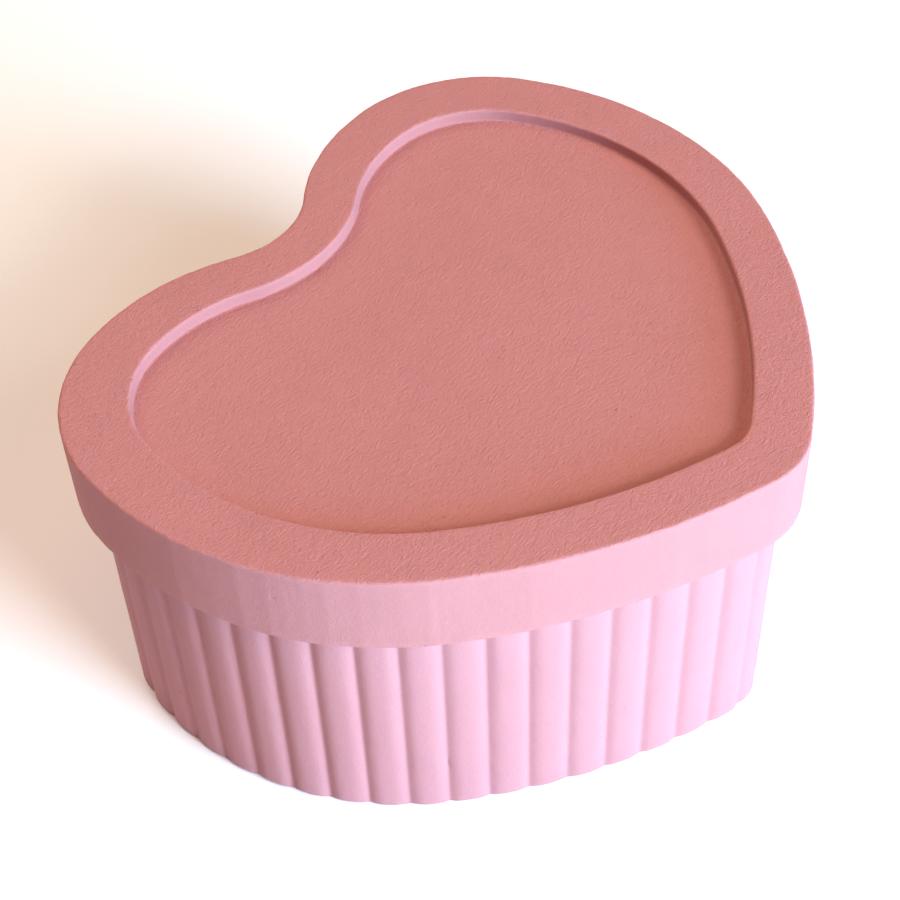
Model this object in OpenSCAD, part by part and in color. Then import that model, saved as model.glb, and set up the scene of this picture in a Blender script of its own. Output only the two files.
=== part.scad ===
// Heart-shaped trinket box: a reeded cup closed by a thick lift-off lid.
//
// The origin is the centre of the footprint, on the surface the box stands on.
// +Z is up, the heart's tip points to -Y and its cleft to +Y.
//
// Every outline is one closed chain of tangent arcs: tip, flank, side, shoulder
// and crown of the right lobe, the hollow of the cleft, and the left lobe back to
// the tip. An inset outline keeps the arcs' centres and changes their radii.

/* [Overall] */
// Width of the lid across both lobes
box_w = 100; // [70:1:160]
// Height of the box with its lid on
box_h = 48; // [36:1:90]

/* [Heart outline, radii as shares of half the width] */
// Arc at the widest part of a lobe
side_share = 0.92; // [0.88:0.01:0.96]
// Long flank arc between the lobe and the tip
flank_share = 1.88; // [1.7:0.01:2.1]
// Rounded tip
tip_share = 0.23; // [0.17:0.01:0.28]
// Tight arc at the top outer corner of a lobe
shoulder_share = 0.45; // [0.4:0.01:0.5]
// Arc over the top of a lobe, down to the cleft
crown_share = 0.64; // [0.6:0.01:0.7]
// Hollow arc at the bottom of the cleft
cleft_share = 0.26; // [0.2:0.01:0.32]
// How far the side arc turns below the widest point, in degrees
side_low = 42; // [38:1:46]
// How far the side arc turns above the widest point, in degrees
side_high = 18; // [14:1:22]
// How far the shoulder arc turns, in degrees
shoulder_turn = 66; // [62:1:70]

/* [Lid] */
// Height of the smooth band round the lid
band_h = 11.5; // [8:0.5:16]
// How far the lid stands out past the crests of the reeds
overhang = 2.6; // [1:0.1:4]
// Depth of the heart-shaped recess in the top
recess_d = 1.8; // [1:0.1:4]
// Inset of the recess from the lid's edge, before it is scaled
recess_inset = 6.1; // [5:0.1:7]
// Scale of the recess outline, which widens the rim round the lobes
recess_scale = 0.95; // [0.92:0.01:0.98]
// How far the recess sits towards the tip
recess_shift = 1; // [0:0.1:2]
// Rounded tip of the recess, as a share of half the width
recess_tip_share = 0.24; // [0.2:0.01:0.3]
// Hollow arc of the recess at the cleft, as a share of half the width
recess_cleft_share = 0.36; // [0.3:0.01:0.42]
// Height of the locating step under the lid
step_h = 3.5; // [2:0.5:6]
// Clearance all round between the step and the mouth of the body
fit_gap = 0.6; // [0.3:0.05:1]

/* [Body] */
// Thinnest part of the wall, behind a valley between two reeds
wall_t = 4.7; // [3:0.1:6]
// Thickness of the floor
floor_t = 5; // [3:0.1:8]
// Number of reeds round the body
reed_count = 54; // [40:1:70]
// Depth of the valleys between the reeds
reed_depth = 0.5; // [0.2:0.05:1]
// Where the first valley lies after the tip, as a share of a reed
reed_phase = 0.65; // [0:0.05:1]

/* [Hidden] */

arc_step = 3;           // degrees between points along an arc
reed_points = 8;        // points along one reed
corner_min = 1;         // smallest radius that an inset leaves at the tip
cut = 1;                // overshoot of a cutting or joining solid
pink = [0.90, 0.62, 0.64];

half_w = box_w / 2;
body_h = box_h - band_h;
cavity_inset = overhang + reed_depth + wall_t;

// Radii and centres of the lid's outline, on the right lobe
side_r = side_share * half_w;
flank_r = flank_share * half_w;
shoulder_r = shoulder_share * half_w;
crown_r = crown_share * half_w;
tip_r = tip_share * half_w;
cleft_r = cleft_share * half_w;
crown_start = side_high + shoulder_turn;
side_c = [half_w - side_r, 0];
flank_c = side_c - (flank_r - side_r) * unit(-side_low);
shoulder_c = side_c + (side_r - shoulder_r) * unit(side_high);
crown_c = shoulder_c + (shoulder_r - crown_r) * unit(crown_start);

// Shift that centres the lid's outline on the origin
tip_y = tip_centre(tip_r)[1] - tip_r;
crown_y = crown_start < 90 ? crown_c[1] + crown_r : shoulder_c[1] + shoulder_r;
centre_shift = [0, -(tip_y + crown_y) / 2];

function unit(a) = [cos(a), sin(a)];
function angle(v) = atan2(v[1], v[0]);

// Centre on the axis of a tip arc of radius r inside both flanks
function tip_centre(r) = [0, flank_c[1] - sqrt(pow(flank_r - r, 2) - pow(flank_c[0], 2))];

// Centre on the axis of a cleft arc of radius r outside both crowns
function cleft_centre(r) = [0, crown_c[1] + sqrt(pow(crown_r + r, 2) - pow(crown_c[0], 2))];

// An arc is [centre, radius, start angle, turn]. The radius is negative on the
// hollow arc, whose points lie on the other side of its centre.
function mirrored(arc) = [[-arc[0][0], arc[0][1]], arc[1], 180 - arc[2] - arc[3], arc[3]];

// The closed heart, anticlockwise from the left flank's end at the tip
function heart(inset, tip = tip_r, cleft = cleft_r) =
    let (
        tip_outer = max(tip, inset + corner_min),
        tip_c = tip_centre(tip_outer),
        cleft_c = cleft_centre(cleft),
        tip_end = angle(tip_c - flank_c),
        crown_end = angle(cleft_c - crown_c),
        right = [
            [flank_c, flank_r - inset, tip_end, -side_low - tip_end],
            [side_c, side_r - inset, -side_low, side_low + side_high],
            [shoulder_c, shoulder_r - inset, side_high, shoulder_turn],
            [crown_c, crown_r - inset, crown_start, crown_end - crown_start]
        ],
        left = [for (i = [3:-1:0]) mirrored(right[i])]
    )
    concat(
        [[tip_c, tip_outer - inset, -180 - tip_end, 180 + 2 * tip_end]],
        right,
        [[cleft_c, -(cleft + inset), crown_end, 180 - 2 * crown_end]],
        left
    );

function arc_length(arc) = abs(arc[1] * arc[3]) * PI / 180;
function lengths(arcs) = [for (arc = arcs) arc_length(arc)];
function total(v, n = 0) = n < len(v) ? v[n] + total(v, n + 1) : 0;

// Point of an arc at share t of its turn, moved outwards by rise
function on_arc(arc, t, rise = 0) = arc[0] + (arc[1] + rise) * unit(arc[2] + t * arc[3]);

// Points round a chain of arcs
function outline(arcs) = [
    for (arc = arcs)
        let (steps = ceil(abs(arc[3]) / arc_step))
        for (i = [0:steps - 1]) on_arc(arc, i / steps)
];

// Point at distance s along a chain of arcs, moved outwards by rise
function along(arcs, s, rise, i = 0) =
    s <= arc_length(arcs[i]) || i == len(arcs) - 1
        ? on_arc(arcs[i], s / arc_length(arcs[i]), rise)
        : along(arcs, s - arc_length(arcs[i]), rise, i + 1);

// Points round the reeds: each is a shallow bulge between two sharp valleys
function reeded(arcs) =
    let (
        perimeter = total(lengths(arcs)),
        pitch = perimeter / reed_count,
        first = arc_length(arcs[0]) / 2 + reed_phase * pitch
    )
    [
        for (reed = [0:reed_count - 1], i = [0:reed_points - 1])
            let (
                t = i / reed_points,
                s = (first + (reed + t) * pitch) % perimeter
            )
            along(arcs, s, -reed_depth * pow(2 * t - 1, 2))
    ];

module slab(points, z0, z1) {
    translate([centre_shift[0], centre_shift[1], z0])
        linear_extrude(z1 - z0)
            polygon(points);
}

// Reeded cup with a smooth inside
module box_body() {
    color(pink)
        difference() {
            slab(reeded(heart(overhang)), 0, body_h);
            slab(outline(heart(cavity_inset)), floor_t, body_h + cut);
        }
}

// Thick slab with a sunk top, and a step under it that drops into the mouth
module lid() {
    recess_outline = outline(heart(
        recess_inset,
        recess_tip_share * half_w,
        recess_cleft_share * half_w
    ));
    recess_points = [for (p = recess_outline) recess_scale * p - [0, recess_shift]];
    color(pink)
        difference() {
            union() {
                slab(outline(heart(0)), body_h, box_h);
                slab(outline(heart(cavity_inset + fit_gap)), body_h - step_h, body_h + cut);
            }
            slab(recess_points, box_h - recess_d, box_h + cut);
        }
}

box_body();
lid();
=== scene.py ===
import math
import random

import bpy
import numpy as np
from mathutils import Matrix, Vector, noise
from mathutils.geometry import delaunay_2d_cdt


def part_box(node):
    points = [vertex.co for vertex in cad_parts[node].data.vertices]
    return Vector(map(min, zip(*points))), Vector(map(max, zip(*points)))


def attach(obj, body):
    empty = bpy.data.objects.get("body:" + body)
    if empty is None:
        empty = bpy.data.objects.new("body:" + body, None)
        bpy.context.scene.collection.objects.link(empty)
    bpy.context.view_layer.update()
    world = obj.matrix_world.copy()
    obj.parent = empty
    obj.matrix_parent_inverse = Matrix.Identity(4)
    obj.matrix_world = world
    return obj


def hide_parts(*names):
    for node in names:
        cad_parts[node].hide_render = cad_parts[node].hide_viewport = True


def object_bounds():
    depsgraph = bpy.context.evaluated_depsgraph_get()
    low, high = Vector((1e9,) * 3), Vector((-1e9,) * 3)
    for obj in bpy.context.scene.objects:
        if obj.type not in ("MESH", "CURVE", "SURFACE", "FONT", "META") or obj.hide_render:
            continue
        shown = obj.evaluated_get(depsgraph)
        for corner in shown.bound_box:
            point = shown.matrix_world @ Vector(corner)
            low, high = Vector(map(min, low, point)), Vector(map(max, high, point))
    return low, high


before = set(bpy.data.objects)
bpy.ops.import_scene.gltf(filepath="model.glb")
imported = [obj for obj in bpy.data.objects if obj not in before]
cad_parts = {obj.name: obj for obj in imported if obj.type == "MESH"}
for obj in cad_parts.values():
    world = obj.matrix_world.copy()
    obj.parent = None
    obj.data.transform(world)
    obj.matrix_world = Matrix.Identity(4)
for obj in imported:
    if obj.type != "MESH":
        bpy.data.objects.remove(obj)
CAD_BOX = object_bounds()

# A heart-shaped trinket box cast in pigmented plaster. The CAD nodes give the overall sizes and
# places, and the smaller sizes repeat the part's own settings. The two castings here stand for
# the nodes, with softened, nicked edges and a wrinkled top face. Lengths are in millimetres until
# a mesh is made.

MM = 0.001
LID_LO, LID_HI = (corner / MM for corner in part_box("lid"))
TOP, STEP_BOTTOM = LID_HI.z, LID_LO.z
SEAM = (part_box("box_body")[1] / MM).z
HALF_W = (LID_HI.x - LID_LO.x) / 2

# Heart outline: the same chain of tangent arcs as the CAD, as shares of half the width
SIDE_R, FLANK_R, TIP_R = 0.92 * HALF_W, 1.88 * HALF_W, 0.23 * HALF_W
SHOULDER_R, CROWN_R, CLEFT_R = 0.45 * HALF_W, 0.64 * HALF_W, 0.26 * HALF_W
SIDE_LOW, SIDE_HIGH, SHOULDER_TURN = math.radians(42), math.radians(18), math.radians(66)

# Lid
RECESS_D = 1.8
RECESS_INSET, RECESS_SCALE, RECESS_SHIFT = 6.1, 0.95, 1.0
RECESS_TIP_R, RECESS_CLEFT_R = 0.24 * HALF_W, 0.36 * HALF_W
FIT_GAP = 0.6

# Body
OVERHANG = 2.6
REEDS, REED_DEPTH, REED_PHASE = 54, 0.5, 0.65
WALL_T, FLOOR_T = 4.7, 5.0
CAVITY_INSET = OVERHANG + REED_DEPTH + WALL_T

# Surface: the lean of the strokes on the top, the rounding of the valleys between the reeds,
# how far a face may bulge, the widths and dip of the band's facets, and the air-bubble pits
STROKE_ANGLE = -14
VALLEY_SOFTNESS = 0.25
BULGE_LIMIT = 0.05
FACET_MIN, FACET_MAX, FACET_DIP = 1.7, 4.2, 0.10
PIT_RADIUS, PIT_DEPTH = (0.10, 0.18), (0.10, 0.22)
LID_PITS, BODY_PITS = 16, 14
SEED = 7

# Mesh detail: columns round the lid and in one reed, and the strips that ring the flat fills
LID_COLUMNS = 880
REED_COLUMNS = 18
FILL_STRIP, FOOT_STRIP = 1.6, 3.0


# ---------------------------------------------------------------- heart outline

def unit(angle):
    return np.array([math.cos(angle), math.sin(angle)])


def angle_of(v):
    return math.atan2(v[1], v[0])


SIDE_C = np.array([HALF_W - SIDE_R, 0.0])
FLANK_C = SIDE_C - (FLANK_R - SIDE_R) * unit(-SIDE_LOW)
SHOULDER_C = SIDE_C + (SIDE_R - SHOULDER_R) * unit(SIDE_HIGH)
CROWN_START = SIDE_HIGH + SHOULDER_TURN
CROWN_C = SHOULDER_C + (SHOULDER_R - CROWN_R) * unit(CROWN_START)


def tip_centre(r):
    return np.array([0, FLANK_C[1] - math.sqrt((FLANK_R - r) ** 2 - FLANK_C[0] ** 2)])


def cleft_centre(r):
    return np.array([0, CROWN_C[1] + math.sqrt((CROWN_R + r) ** 2 - CROWN_C[0] ** 2)])


# The lid's outline is centred on the origin, front to back
CENTRE_SHIFT = np.array([0, -(tip_centre(TIP_R)[1] - TIP_R + CROWN_C[1] + CROWN_R) / 2])


class Heart:
    """A closed chain of ten arcs, anticlockwise from the left flank's end at the tip."""

    def __init__(self, inset, tip=TIP_R, cleft=CLEFT_R):
        tip_outer = max(tip, inset + 1)
        tip_c, cleft_c = tip_centre(tip_outer), cleft_centre(cleft)
        tip_end = angle_of(tip_c - FLANK_C)
        crown_end = angle_of(cleft_c - CROWN_C)
        right = [
            (FLANK_C, FLANK_R - inset, tip_end, -SIDE_LOW - tip_end),
            (SIDE_C, SIDE_R - inset, -SIDE_LOW, SIDE_LOW + SIDE_HIGH),
            (SHOULDER_C, SHOULDER_R - inset, SIDE_HIGH, SHOULDER_TURN),
            (CROWN_C, CROWN_R - inset, CROWN_START, crown_end - CROWN_START),
        ]
        left = [(c * [-1, 1], r, math.pi - a - turn, turn) for c, r, a, turn in reversed(right)]
        arcs = [(tip_c, tip_outer - inset, -math.pi - tip_end, math.pi + 2 * tip_end)]
        arcs += right
        arcs += [(cleft_c, -(cleft + inset), crown_end, math.pi - 2 * crown_end)]
        arcs += left
        self.centre = np.array([arc[0] for arc in arcs])
        self.radius = np.array([arc[1] for arc in arcs])
        self.start = np.array([arc[2] for arc in arcs])
        self.turn = np.array([arc[3] for arc in arcs])
        self.lengths = np.abs(self.radius * self.turn)
        self.length = self.lengths.sum()

    def columns(self, distance):
        """Which arc each distance along the outline falls on, and the share of its turn."""
        ends = np.cumsum(self.lengths)
        arc = np.minimum(np.searchsorted(ends, distance, side="right"), len(ends) - 1)
        share = (distance - (ends - self.lengths)[arc]) / self.lengths[arc]
        return arc, share

    def ring(self, columns, rise=0.0):
        """Points at the columns, moved outwards by rise, and the outward directions there."""
        arc, share = columns
        a = self.start[arc] + share * self.turn[arc]
        out = np.stack([np.cos(a), np.sin(a)], axis=1)
        points = self.centre[arc] + (self.radius[arc] + rise)[:, None] * out + CENTRE_SHIFT
        return points, out


# ---------------------------------------------------------------- mesh building

def level(points, z):
    """A ring of points at height z, which is one number or one number a column."""
    return np.column_stack([points, np.broadcast_to(z, len(points))])


def between(row_a, row_b, steps):
    """Rows evenly spaced between two rows, without either of them."""
    return [row_a + (row_b - row_a) * step / steps for step in range(1, steps)]


def quarter_round(count):
    """Places round a quarter circle of radius 1: one distance grows from 0, the other falls to 0."""
    angles = [math.radians(90 * step / (count - 1)) for step in range(count)]
    return [(1 - math.cos(a), 1 - math.sin(a)) for a in angles]


class Profile:
    """Rings of points from the inside of a casting round to its underside, with their edge wear."""

    def __init__(self):
        self.rows, self.wear = [], []

    def add(self, rows, wear=0.0):
        self.rows.extend(rows)
        self.wear.extend([wear] * len(rows))

    def last(self):
        return self.rows[-1]

    def vertex_wear(self, count):
        """Wear at each of count vertices; those of the flat fills come last and have none."""
        worn = np.repeat(self.wear, len(self.rows[0]))
        return np.concatenate([worn, np.zeros(count - len(worn))])


def inside(outline, points):
    """Which points lie inside a closed outline."""
    x, y = points[:, :1], points[:, 1:]
    ax, ay = outline[:, 0], outline[:, 1]
    bx, by = np.roll(outline, -1, axis=0).T
    crosses = (ay > y) != (by > y)
    rise = np.where(by == ay, 1e-12, by - ay)
    left = x < ax + (y - ay) / rise * (bx - ax)
    return (crosses & left).sum(axis=1) % 2 == 1


def fill(outline, spacing):
    """Points inside a flat outline, on a triangular grid, and the triangles that join it all."""
    low, high = outline.min(axis=0), outline.max(axis=0)
    xs = np.arange(low[0], high[0], spacing)
    ys = np.arange(low[1], high[1], spacing * math.sqrt(3) / 2)
    grid = np.array([(x + (i % 2) * spacing / 2, y) for i, y in enumerate(ys) for x in xs])
    kept = []
    for part in np.array_split(grid, 1 + len(grid) // 2000):
        part = part[inside(outline, part)]
        gap = np.sqrt(((part[:, None] - outline[None]) ** 2).sum(axis=2)).min(axis=1)
        kept.append(part[gap > 0.6 * spacing])
    grid = np.concatenate(kept)
    n = len(outline)
    points = [Vector(p) for p in np.concatenate([outline, grid])]
    edges = [(i, (i + 1) % n) for i in range(n)]
    _, _, faces, source, _, _ = delaunay_2d_cdt(points, edges, [], 1, 1e-6)
    return grid, [[source[v][0] for v in face] for face in faces]


def casting(rows, first_spacing, last_spacing):
    """A closed mesh from rings of columns, top to bottom, with a flat fill inside each end ring."""
    n = len(rows[0])
    verts = np.concatenate(rows)
    faces = []
    for r in range(len(rows) - 1):
        a, b = r * n, (r + 1) * n
        faces += [(a + j, b + j, b + (j + 1) % n, a + (j + 1) % n) for j in range(n)]
    last_start = (len(rows) - 1) * n
    for ring_start, spacing, flip in ((0, first_spacing, False), (last_start, last_spacing, True)):
        ring_points = verts[ring_start:ring_start + n]
        grid, triangles = fill(ring_points[:, :2], spacing)
        base = len(verts)
        z = ring_points[:, 2].mean()
        verts = np.concatenate([verts, level(grid, z)])
        for triangle in triangles:
            face = [ring_start + v if v < n else base + v - n for v in triangle]
            faces.append(face[::-1] if flip else face)
    return verts, faces


def normals_of(verts, faces):
    mesh = bpy.data.meshes.new("work")
    mesh.from_pydata(verts.tolist(), [], faces)
    mesh.update()
    result = np.zeros(len(verts) * 3, np.float32)
    mesh.vertices.foreach_get("normal", result)
    bpy.data.meshes.remove(mesh)
    return result.reshape(-1, 3).astype(float)


def noise_at(points, size, offset=0.0):
    """Smooth noise from -1 to 1 at each point; size is the width of one bump, in mm."""
    scaled = points / np.asarray(size, float) + offset
    return np.array([noise.noise(Vector(p)) for p in scaled])


# ---------------------------------------------------------------- wear and casting marks

def nicked(distance, length, base, spread, count, rng):
    """Edge radius for each column: it wavers round base, and count small chips widen it."""
    turn = 2 * math.pi * distance / length
    circle = np.column_stack([np.cos(turn), np.sin(turn), np.zeros_like(turn)]) * length / (2 * math.pi)
    radius = base + spread * (noise_at(circle, 1.8, base) + 0.8 * noise_at(circle, 0.7, base))
    for _ in range(count):
        centre, width = rng.uniform(0, length), rng.uniform(0.25, 0.7)
        apart = np.abs((distance - centre + length / 2) % length - length / 2)
        radius += rng.uniform(0.4, 1.6) * spread * np.exp(-(apart / width) ** 2)
    return np.clip(radius, 0.4 * base, 3 * base)


def faceted(distance, heart, columns, rng):
    """How far flat facets lie inside the side and flank arcs, as on a mould with flat strips."""
    smallest_radius = 0.8 * HALF_W
    knots = [0.0]
    while knots[-1] < heart.length:
        knots.append(knots[-1] + rng.uniform(FACET_MIN, FACET_MAX))
    dips = [rng.uniform(0, FACET_DIP) for _ in knots]
    dips[-1] = dips[0]
    knots = np.array(knots)
    after = np.searchsorted(knots, distance, side="right")
    before, after = knots[after - 1], knots[after]
    radius = heart.radius[columns[0]]
    flat = (distance - before) * (after - distance) / (2 * radius)
    return np.where(np.abs(radius) > smallest_radius, flat, 0.0) + np.interp(distance, knots, dips)


def pitted(verts, normals, centres, rng):
    """Sinks small air-bubble pits: nearby vertices are drawn in to give each pit a round mouth."""
    for centre in centres:
        radius, depth = rng.uniform(*PIT_RADIUS), rng.uniform(*PIT_DEPTH)
        reach = 3 * radius
        near = np.flatnonzero(np.abs(verts - centre).max(axis=1) < reach)
        offset = verts[near] - centre
        gap = np.linalg.norm(offset, axis=1)
        near, offset, gap = near[gap < reach], offset[gap < reach], gap[gap < reach]
        if len(near) == 0:
            continue
        drawn = (gap / reach) ** 0.6
        sink = depth * np.sqrt(np.clip(1 - (gap * drawn / radius) ** 2, 0, None))
        along = (offset * normals[near]).sum(axis=1)[:, None] * normals[near]
        flat = offset - along
        verts[near] = centre + along + flat * drawn[:, None] - normals[near] * sink[:, None]


def finish_piece(name, verts, faces, wear, node, body, material):
    """Makes the object, gives it its material and ties it to the frame."""
    mesh = bpy.data.meshes.new(name)
    mesh.from_pydata((verts * MM).tolist(), [], faces)
    mesh.validate()
    mesh.shade_smooth()
    worn = mesh.attributes.new("edge_wear", "FLOAT", "POINT")
    worn.data.foreach_set("value", wear.astype(np.float32))
    mesh.materials.append(material)
    piece = bpy.data.objects.new(name, mesh)
    bpy.context.scene.collection.objects.link(piece)
    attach(piece, body)
    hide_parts(node)


# ---------------------------------------------------------------- the lid

def make_lid(material):
    rng = random.Random(SEED)
    outer = Heart(0)
    distance = np.arange(LID_COLUMNS) * outer.length / LID_COLUMNS
    columns = outer.columns(distance)
    rim, out = outer.ring(columns)
    rim = rim - out * faceted(distance, outer, columns, rng)[:, None]

    recess, recess_out = Heart(RECESS_INSET, RECESS_TIP_R, RECESS_CLEFT_R).ring(columns)
    recess = (recess - CENTRE_SHIFT) * RECESS_SCALE - [0, RECESS_SHIFT] + CENTRE_SHIFT
    step, step_out = Heart(CAVITY_INSET + FIT_GAP).ring(columns)

    top_edge = nicked(distance, outer.length, 0.34, 0.06, 60, rng)
    lip = nicked(distance, outer.length, 0.28, 0.05, 40, rng)
    low_edge = nicked(distance, outer.length, 0.18, 0.06, 70, rng)
    corner, step_edge = 0.35, 0.4
    floor_z = TOP - RECESS_D
    lid = Profile()

    # Recess floor, then its corner, wall and lip
    inner = level(recess - recess_out * FILL_STRIP, floor_z)
    corner_start = level(recess - recess_out * corner, floor_z)
    lid.add([inner] + between(inner, corner_start, 3))
    for rise, reach in quarter_round(5):
        lid.add([level(recess - recess_out * (corner * reach), floor_z + corner * rise)])
    lid.add(between(lid.last(), level(recess, TOP - lip), 4))
    for reach, drop in quarter_round(5):
        lid.add([level(recess + recess_out * (lip * reach)[:, None], TOP - lip * drop)], 1)

    # Rim, top edge and band
    rim_out = level(rim - out * top_edge[:, None], TOP)
    lid.add(between(lid.last(), rim_out, 18))
    for drop, reach in quarter_round(6):
        lid.add([level(rim - out * (top_edge * reach)[:, None], TOP - top_edge * drop)], 1)
    lid.add(between(lid.last(), level(rim, SEAM + low_edge), 22))
    lid.wear[-1] = 1
    for reach, rise in quarter_round(5):
        lid.add([level(rim - out * (low_edge * reach)[:, None], SEAM + low_edge * rise)], 1)

    # Underside and the locating step
    step_root = level(step, SEAM)
    lid.add(between(lid.last(), step_root, 8) + [step_root])
    lid.add(between(step_root, level(step, STEP_BOTTOM + step_edge), 5))
    for reach, rise in quarter_round(4):
        lid.add([level(step - step_out * (step_edge * reach), STEP_BOTTOM + step_edge * rise)], 0.5)
    step_inner = level(step - step_out * FILL_STRIP, STEP_BOTTOM)
    lid.add(between(lid.last(), step_inner, 2) + [step_inner])

    # Slow waves, fine unevenness, and shallow strokes on the faces that look up
    verts, faces = casting(lid.rows, 0.5, 1.2)
    normals = normals_of(verts, faces)
    uneven = 0.035 * noise_at(verts, 9.0) + 0.012 * noise_at(verts, 1.7, 3.1)
    upward = np.clip((normals[:, 2] - 0.6) / 0.3, 0, 1)
    turn = math.radians(STROKE_ANGLE)
    across = np.array([[math.cos(turn), -math.sin(turn)], [math.sin(turn), math.cos(turn)]])
    turned = np.column_stack([verts[:, :2] @ across, verts[:, 2]])
    strokes = noise_at(turned, (1.3, 0.7, 1.3), 8.4)
    uneven += 0.008 * upward * np.maximum(strokes, -0.2)
    below_seam = verts[:, 2] < SEAM + 0.1
    uneven[below_seam] = np.minimum(uneven[below_seam], 0)
    verts = verts + normals * np.minimum(uneven, BULGE_LIMIT)[:, None]

    shown = np.flatnonzero(verts[:, 2] > SEAM + 0.6)
    pits = [verts[rng.choice(shown)].copy() for _ in range(LID_PITS)]
    pitted(verts, normals, pits, rng)
    wear = lid.vertex_wear(len(verts))
    finish_piece("lid_casting", verts, faces, wear, "lid", "lid", material)


# ---------------------------------------------------------------- the body

def make_body(material):
    rng = random.Random(SEED + 1)
    crest = Heart(OVERHANG)
    pitch = crest.length / REEDS
    first = crest.lengths[0] / 2 + REED_PHASE * pitch

    # Columns crowd towards the valleys, which are rounded; the crests are flatter than an arc
    i = np.arange(REED_COLUMNS) / REED_COLUMNS
    share = i - 0.06 * np.sin(2 * math.pi * i)
    distance = (first + (np.arange(REEDS)[:, None] + share[None]) * pitch).ravel() % crest.length
    share = np.tile(share, REEDS)
    columns = crest.columns(distance)
    half_reed = pitch / 2
    from_valley = np.minimum(share, 1 - share) * pitch
    softened = np.hypot(from_valley, VALLEY_SOFTNESS) - VALLEY_SOFTNESS
    softened *= half_reed / (math.hypot(half_reed, VALLEY_SOFTNESS) - VALLEY_SOFTNESS)
    depth = REED_DEPTH * (1 - softened / half_reed) ** 3
    reeded, out = crest.ring(columns, -depth)
    cavity, cavity_out = Heart(CAVITY_INSET).ring(columns)

    crest_wear = 0.45 * (1 - depth / REED_DEPTH)
    foot = nicked(distance, crest.length, 0.18, 0.06, 70, rng) + crest_wear
    mouth, cove, top_edge = 0.5, 1.4, 0.2
    body = Profile()

    # Cavity floor, its cove and wall, and the mouth
    inner = level(cavity - cavity_out * (cove + 1.2), FLOOR_T)
    cove_start = level(cavity - cavity_out * cove, FLOOR_T)
    body.add([inner] + between(inner, cove_start, 2))
    for rise, reach in quarter_round(6):
        body.add([level(cavity - cavity_out * (cove * reach), FLOOR_T + cove * rise)])
    body.add(between(body.last(), level(cavity, SEAM - mouth), 22))
    for reach, drop in quarter_round(5):
        body.add([level(cavity + cavity_out * (mouth * reach), SEAM - mouth * drop)], 0.6)

    # Seat, outer edge, reeds and foot
    seat_out = level(reeded - out * top_edge, SEAM)
    body.add(between(body.last(), seat_out, 6) + [seat_out])
    body.add([level(reeded - out * 0.3 * top_edge, SEAM - 0.3 * top_edge)], 0.4)
    wall_top = level(reeded, SEAM - top_edge)
    body.add([wall_top] + between(wall_top, level(reeded, foot), 34))
    for reach, rise in quarter_round(6):
        body.add([level(reeded - out * (foot * reach)[:, None], foot * rise)], 0.7)
    foot_inner = level(crest.ring(columns, -FOOT_STRIP)[0], 0)
    body.add(between(body.last(), foot_inner, 2) + [foot_inner])

    # Slow waves, fine unevenness, and faint upright ripples along the reeds
    verts, faces = casting(body.rows, 1.2, 2.0)
    normals = normals_of(verts, faces)
    uneven = 0.035 * noise_at(verts, 8.0, 5.0) + 0.010 * noise_at(verts, 1.6, 1.3)
    uneven += 0.02 * noise_at(verts, (1.6, 1.6, 14.0), 2.2)
    resting = (verts[:, 2] < 0.05) | (verts[:, 2] > SEAM - 0.05)
    uneven[resting] = np.minimum(uneven[resting], 0) * 0.5
    verts = verts + normals * np.minimum(uneven, BULGE_LIMIT)[:, None]

    shown = np.flatnonzero((verts[:, 2] > 1) & (verts[:, 2] < SEAM - 1))
    pits = [verts[rng.choice(shown)].copy() for _ in range(BODY_PITS)]
    pitted(verts, normals, pits, rng)
    wear = body.vertex_wear(len(verts))
    finish_piece("box_body_casting", verts, faces, wear, "box_body", "base", material)


# ---------------------------------------------------------------- materials

# Both castings are the same pigmented plaster. The body's pink is set lighter than the lid's as painted
# light, standing in for the brighter light that falls on the body next to the bright table.
LID_PINK = (0.465, 0.180, 0.166)
BODY_PINK_PAINTED_LIGHTER = (0.497, 0.206, 0.202)
STROKE_DEPTH = 0.00008


class Nodes:
    """Short names for adding and joining shader nodes; an input is named, or i and its number."""

    def __init__(self, name):
        self.material = bpy.data.materials.new(name)
        self.material.use_nodes = True
        self.tree = self.material.node_tree
        self.shader = self.tree.nodes["Principled BSDF"]

    def add(self, kind, settings=None, **inputs):
        node = self.tree.nodes.new(kind)
        for key, value in (settings or {}).items():
            setattr(node, key, value)
        for key, value in inputs.items():
            self.feed(node, key.replace("_", " "), value)
        return node

    def feed(self, node, key, value):
        socket = node.inputs[int(key[1:])] if key[0] == "i" and key[1:].isdigit() else node.inputs[key]
        if isinstance(value, bpy.types.NodeSocket):
            self.tree.links.new(value, socket)
        else:
            socket.default_value = value

    def math(self, operation, a, b=0.0):
        return self.add("ShaderNodeMath", {"operation": operation}, i0=a, i1=b).outputs[0]

    def ramp(self, value, low, high):
        """0 below low, 1 above high, smooth between."""
        node = self.add("ShaderNodeMapRange", {"interpolation_type": "SMOOTHSTEP"}, Value=value)
        self.feed(node, "From Min", low)
        self.feed(node, "From Max", high)
        return node.outputs["Result"]

    def noise(self, where, size, detail=2.0, roughness=0.5):
        """Noise from 0 to 1; size is the width of one bump in metres."""
        node = self.add("ShaderNodeTexNoise", Vector=where, Scale=1 / size, Detail=detail)
        self.feed(node, "Roughness", roughness)
        return node.outputs["Fac"]

    def strokes(self, where, angle, width):
        """Separate strokes about twice as long as they are wide, as a height from 0 to 1."""
        turned = self.add("ShaderNodeMapping", Vector=where, Rotation=(0, 0, math.radians(-angle)))
        drawn = self.add("ShaderNodeMapping", Vector=turned.outputs[0], Scale=(0.50, 1.0, 1.0))
        return self.ramp(self.noise(drawn.outputs[0], width, 2.0, 0.65), 0.50, 0.74)

    def mix(self, factor, a, b):
        node = self.add("ShaderNodeMix", {"data_type": "RGBA"})
        self.feed(node, "i0", factor)
        self.feed(node, "i6", a)
        self.feed(node, "i7", b)
        return node.outputs[2]


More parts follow.
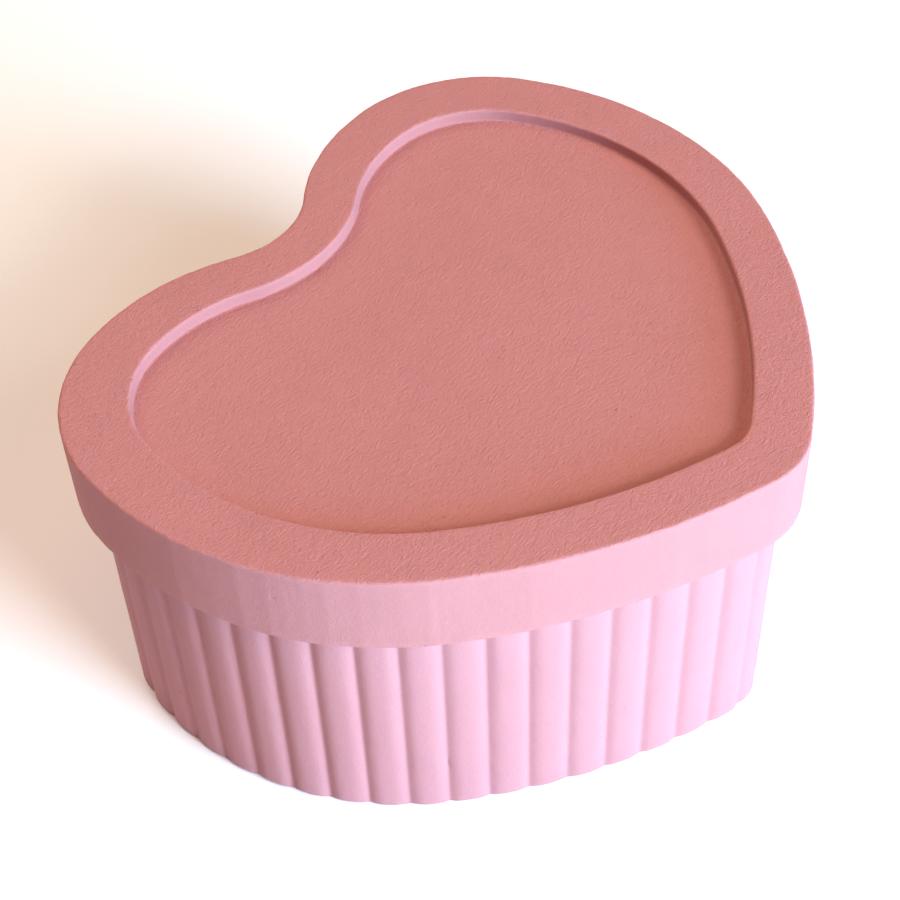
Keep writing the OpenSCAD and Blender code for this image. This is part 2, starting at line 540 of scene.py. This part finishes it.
def tint(colour, gain, warm=0.0):
    r, g, b = colour
    return (min(1, r * gain * (1 + warm)), g * gain, b * gain * (1 - warm), 1)


def make_plaster(name, seed, pink):
    """Chalky cast plaster: stroked on top, powdery all over, paler where edges are worn."""
    n = Nodes(name)
    place = n.add("ShaderNodeTexCoord").outputs["Object"]
    offset = (seed * 0.013, seed * 0.007, 0.0001)
    shifted = n.add("ShaderNodeMapping", Vector=place, Location=offset).outputs[0]
    up = n.add("ShaderNodeNewGeometry").outputs["Normal"]
    up_z = n.add("ShaderNodeSeparateXYZ", Vector=up).outputs["Z"]
    top_mask = n.ramp(up_z, 0.45, 0.9)

    # Strokes: short raised flecks up to 1 mm long, leaning mostly one way, on upward faces
    broad = n.strokes(shifted, STROKE_ANGLE + 20, 0.00028)
    narrow = n.strokes(shifted, STROKE_ANGLE - 24, 0.00023)
    ridges = n.math("MAXIMUM", broad, narrow)
    dents = n.strokes(shifted, STROKE_ANGLE + 2, 0.00036)

    # Powdery grain everywhere, and sparse pores
    grain = n.noise(shifted, 0.00022, 2.0, 0.6)
    soft_grain = n.noise(shifted, 0.0009, 2.0, 0.5)
    cells = n.add("ShaderNodeTexVoronoi", Vector=shifted, Scale=1 / 0.0026)
    chance = n.add("ShaderNodeSeparateXYZ", Vector=cells.outputs["Color"]).outputs["X"]
    pore_size = n.math("MULTIPLY", n.math("GREATER_THAN", chance, 0.82), 0.055)
    pores = n.math("LESS_THAN", cells.outputs["Distance"], pore_size)

    raised = n.math("SUBTRACT", n.math("MULTIPLY", ridges, 0.60), n.math("MULTIPLY", dents, 0.55))
    height = n.math("MULTIPLY", raised, top_mask)
    powder = n.math("ADD", n.math("MULTIPLY", grain, 0.75), n.math("MULTIPLY", soft_grain, 0.80))
    powder = n.math("MULTIPLY", powder, n.math("ADD", 0.6, n.math("MULTIPLY", top_mask, 0.4)))
    height = n.math("ADD", height, powder)
    height = n.math("SUBTRACT", height, n.math("MULTIPLY", pores, 0.8))
    bump = n.add("ShaderNodeBump", Height=height, Strength=1.0, Distance=STROKE_DEPTH)
    n.feed(n.shader, "Normal", bump.outputs[0])

    # Colour: cloudy pigment, a paler tone on the raised strokes of the top, paler worn edges, and
    # painted shade darkening the pores
    cloud = n.noise(shifted, 0.018, 3.0, 0.55)
    colour = n.mix(cloud, tint(pink, 0.93, 0.02), tint(pink, 1.07, -0.01))
    mottle = n.noise(shifted, 0.0035, 3.0, 0.6)
    patches = n.math("MULTIPLY", n.ramp(mottle, 0.45, 0.75), 0.35)
    colour = n.mix(patches, colour, tint(pink, 0.92, -0.03))
    # A paler tone on the raised strokes of upward faces
    ridge_paling = n.math("MULTIPLY", n.math("MULTIPLY", ridges, top_mask), 0.22)
    colour = n.mix(ridge_paling, colour, tint(pink, 1.14, 0.01))
    speckle = n.math("MULTIPLY", n.ramp(grain, 0.45, 0.70), 0.45)
    colour = n.mix(speckle, colour, tint(pink, 1.10))
    wear = n.add("ShaderNodeAttribute", {"attribute_name": "edge_wear"}).outputs["Fac"]
    worn = n.math("MULTIPLY", wear, n.ramp(n.noise(shifted, 0.0016, 3.0), 0.35, 0.65))
    colour = n.mix(n.math("MULTIPLY", worn, 0.30), colour, tint(pink, 1.18))
    # Painted shade: the pores are darkened to stand in for the shade inside them
    colour = n.mix(n.math("MULTIPLY", pores, 0.55), colour, tint(pink, 0.45, 0.05))
    n.feed(n.shader, "Base Color", colour)
    rough = n.math("ADD", 0.80, n.math("MULTIPLY", soft_grain, 0.16))
    n.feed(n.shader, "Roughness", rough)
    n.shader.inputs["Specular IOR Level"].default_value = 0.3
    return n.material


def make_floor_material():
    n = Nodes("pale_tabletop")
    place = n.add("ShaderNodeTexCoord").outputs["Object"]
    cloud = n.noise(place, 0.12, 3.0, 0.5)
    n.feed(n.shader, "Base Color", n.mix(cloud, (0.91, 0.91, 0.91, 1), (0.94, 0.94, 0.94, 1)))
    n.feed(n.shader, "Roughness", n.math("ADD", 0.62, n.math("MULTIPLY", cloud, 0.1)))
    n.shader.inputs["Specular IOR Level"].default_value = 0.2
    return n.material


# ---------------------------------------------------------------- stage, light and camera

def make_floor():
    """A flat pale table, 5 m square, level with the foot of the box."""
    half = 2.5
    mesh = bpy.data.meshes.new("tabletop")
    corners = [(-half, -half, 0), (half, -half, 0), (half, half, 0), (-half, half, 0)]
    mesh.from_pydata(corners, [], [(0, 1, 2, 3)])
    mesh.materials.append(make_floor_material())
    floor = bpy.data.objects.new("tabletop", mesh)
    bpy.context.scene.collection.objects.link(floor)


def direction(azimuth, elevation):
    """Unit vector towards a compass angle, anticlockwise from +X, and an elevation, in degrees."""
    a, e = math.radians(azimuth), math.radians(elevation)
    return Vector((math.cos(a) * math.cos(e), math.sin(a) * math.cos(e), math.sin(e)))


def area_light(name, aim, towards, away, size, colour, watts):
    """A rectangular light, away metres from what it is aimed at."""
    data = bpy.data.lights.new(name, "AREA")
    data.shape = "RECTANGLE"
    data.size, data.size_y = size
    data.color = colour
    data.energy = watts
    light = bpy.data.objects.new(name, data)
    light.location = aim + towards * away
    light.rotation_euler = (-towards).to_track_quat("-Z", "Y").to_euler()
    bpy.context.scene.collection.objects.link(light)


def make_lights(centre):
    """A tall window right of the camera, cooler near the sill, and warm light from the room."""
    area_light("window_low", centre, direction(268, 8), 0.9, (0.4, 0.3), (0.25, 0.60, 1.0), 22.5)
    area_light("window", centre, direction(264, 28), 0.9, (0.4, 0.3), (1.0, 1.0, 1.0), 6.6)
    area_light("window_high", centre, direction(264, 40), 0.9, (0.4, 0.3), (0.95, 1.0, 0.90), 2.5)
    area_light("side_window", centre, direction(225, 30), 0.9, (0.4, 0.3), (0.11, 0.33, 1.0), 0.9)
    area_light("ceiling", centre, direction(200, 84), 1.2, (0.9, 0.9), (1.0, 0.45, 0.125), 5.3)
    area_light("far_wall", centre, direction(80, 45), 1.2, (0.9, 0.9), (1.0, 0.93, 0.84), 9.7)
    world = bpy.data.worlds.new("room")
    bpy.context.scene.world = world
    world.use_nodes = True
    background = world.node_tree.nodes["Background"]
    background.inputs["Color"].default_value = (1.0, 1.0, 1.0, 1)
    background.inputs["Strength"].default_value = 0.0415


def make_camera(centre):
    """A camera above the left flank, aimed at a point on the table; lengths in metres."""
    azimuth, elevation, roll = math.radians(-53.246), math.radians(45.732), math.radians(-2.590)
    aim = Vector((centre.x + 0.016473, centre.y + 0.020675, 0))
    away = 0.279365
    back = Vector((
        math.sin(azimuth) * math.cos(elevation),
        -math.cos(azimuth) * math.cos(elevation),
        math.sin(elevation),
    ))
    right = Vector((math.cos(azimuth), math.sin(azimuth), 0))
    up = back.cross(right)
    turned_right = math.cos(roll) * right + math.sin(roll) * up
    turned_up = math.cos(roll) * up - math.sin(roll) * right
    data = bpy.data.cameras.new("camera")
    data.sensor_width, data.lens = 36.0, 72.04
    data.clip_start, data.clip_end = 0.01, 20
    camera = bpy.data.objects.new("camera", data)
    camera.matrix_world = Matrix((
        (turned_right.x, turned_up.x, back.x, aim.x + back.x * away),
        (turned_right.y, turned_up.y, back.y, aim.y + back.y * away),
        (turned_right.z, turned_up.z, back.z, aim.z + back.z * away),
        (0, 0, 0, 1),
    ))
    bpy.context.scene.collection.objects.link(camera)
    bpy.context.scene.camera = camera


CENTRE = (CAD_BOX[0] + CAD_BOX[1]) / 2
make_lid(make_plaster("lid_plaster", 1, LID_PINK))
make_body(make_plaster("body_plaster", 2, BODY_PINK_PAINTED_LIGHTER))
make_floor()
make_lights(CENTRE)
make_camera(CENTRE)
bpy.context.scene.view_settings.view_transform = "Standard"
